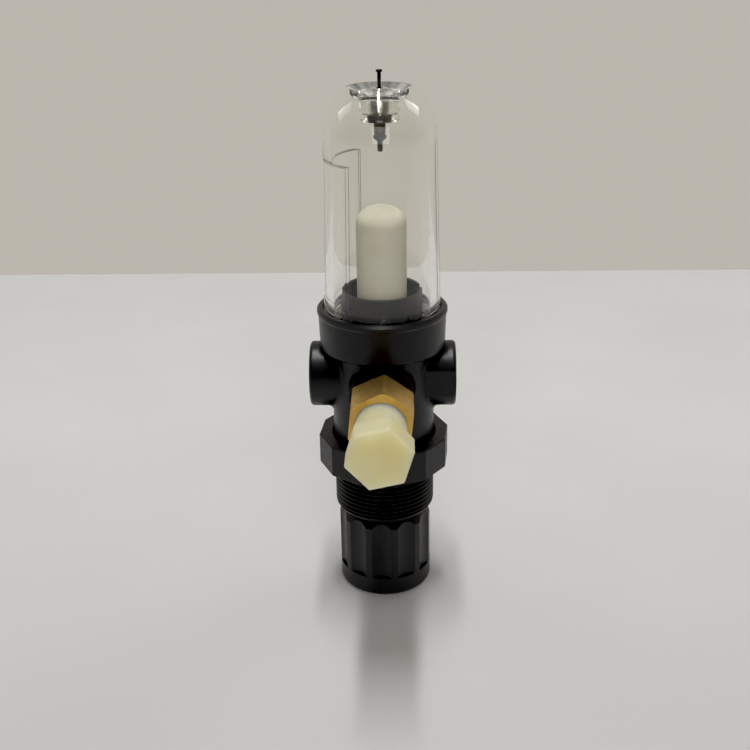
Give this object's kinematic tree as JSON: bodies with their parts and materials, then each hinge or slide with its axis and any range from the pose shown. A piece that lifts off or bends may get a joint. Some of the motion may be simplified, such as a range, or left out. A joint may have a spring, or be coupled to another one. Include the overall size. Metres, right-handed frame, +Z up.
{
  "type": "compressed air filter regulator",
  "caption": "Miniature filter regulator for compressed air: clear screw-on bowl with a press-pin drain, pipe-thread ports, panel-mount bonnet thread and a fluted adjusting knob.",
  "frame": {"origin": "middle of the knob's closed face, which the unit stands on", "axes": "+Z up the unit's axis from the knob to the bowl's drain, -Y out of the front gauge port, -X out of the inlet, +X out of the outlet"},
  "size_m": [0.0428, 0.0753, 0.1571],
  "materials": {
    "black_casting": "satin black paint on a zinc casting",
    "black_plastic": "satin moulded",
    "black_nylon": "satin moulded, slightly greyer",
    "clear_polycarbonate": "clear, polished",
    "sintered_plastic": "porous white",
    "brass": "machined",
    "natural_nylon": "translucent cream",
    "grey_plastic": "moulded acetal",
    "plated_steel": "zinc plated",
    "spring_steel": "drawn wire",
    "black_rubber": "nitrile rubber",
    "nickel_brass": "nickel plated",
    "dark_steel": "dark oxide"
  },
  "bodies": {
    "housing": {"body": "black_casting", "bonnet": "black_plastic", "slip_ring": "grey_plastic", "thrust_washer": "plated_steel", "diaphragm": "black_rubber", "valve_spring": "spring_steel", "valve_retainer": "grey_plastic", "retainer_o_ring": "black_rubber", "filter_element": "sintered_plastic", "deflector": "black_plastic", "gauge_adapter": "brass", "adapter_plug": "natural_nylon", "gauge_port_plug": "brass"},
    "adjusting_screw": {"adjusting_screw": "plated_steel", "screw_clip": "plated_steel"},
    "knob": {"knob": "black_plastic"},
    "spring_nut": {"spring_nut": "grey_plastic"},
    "diaphragm_stack": {"diaphragm_plate": "plated_steel", "relief_seat": "brass", "regulating_spring": "spring_steel"},
    "valve": {"valve_stem": "brass", "valve_disc": "black_rubber"},
    "panel_nut": {"panel_nut": "black_nylon"},
    "bowl_seal": {"bowl_o_ring": "black_rubber"},
    "bowl": {"bowl": "clear_polycarbonate", "drain_body": "nickel_brass", "drain_gasket": "black_rubber", "drain_nut": "dark_steel", "drain_spring": "spring_steel"},
    "drain_pin": {"drain_pin": "dark_steel", "drain_seal": "black_rubber"}
  },
  "joints": [
    {"name": "screw_turn", "type": "hinge", "parent": "housing", "child": "adjusting_screw", "pos_m": [0, 0, 0.03], "axis": [0, 0, 1], "range_deg": [0, 2016.01]},
    {"name": "knob_pull", "type": "slide", "parent": "adjusting_screw", "child": "knob", "axis": [0, 0, -1], "range_m": [0, 0.0025]},
    {"name": "spring_nut_travel", "type": "slide", "parent": "housing", "child": "spring_nut", "axis": [0, 0, 1], "range_m": [0, 0.007], "deforming": ["regulating_spring"]},
    {"name": "diaphragm_stroke", "type": "slide", "parent": "housing", "child": "diaphragm_stack", "axis": [0, 0, 1], "range_m": [0, 0.001], "deforming": ["diaphragm"]},
    {"name": "valve_lift", "type": "slide", "parent": "housing", "child": "valve", "axis": [0, 0, 1], "range_m": [0, 0.001], "stiffness_N_per_m": 250, "springref_m": -0.002, "deforming": ["valve_spring"]},
    {"name": "panel_nut_travel", "type": "slide", "parent": "housing", "child": "panel_nut", "axis": [0, 0, -1], "range_m": [0, 0.0145]},
    {"name": "bowl_lift", "type": "slide", "parent": "housing", "child": "bowl_seal", "axis": [0, 0, 1], "range_m": [0, 0.006]},
    {"name": "bowl_turn", "type": "hinge", "parent": "bowl_seal", "child": "bowl", "pos_m": [0, 0, 0.09], "axis": [0, 0, 1], "range_deg": [0, 1440.01]},
    {"name": "drain_press", "type": "slide", "parent": "bowl", "child": "drain_pin", "axis": [0, 0, -1], "range_m": [0, 0.0015], "stiffness_N_per_m": 300, "springref_m": -0.002, "deforming": ["drain_spring"]}
  ],
  "couplings": [
    {"joint": "screw_turn", "follows": "spring_nut_travel", "rad_per_m": 5026.5},
    {"joint": "valve_lift", "follows": "diaphragm_stroke", "ratio": 1},
    {"joint": "bowl_turn", "follows": "bowl_lift", "rad_per_m": 4188.8}
  ]
}
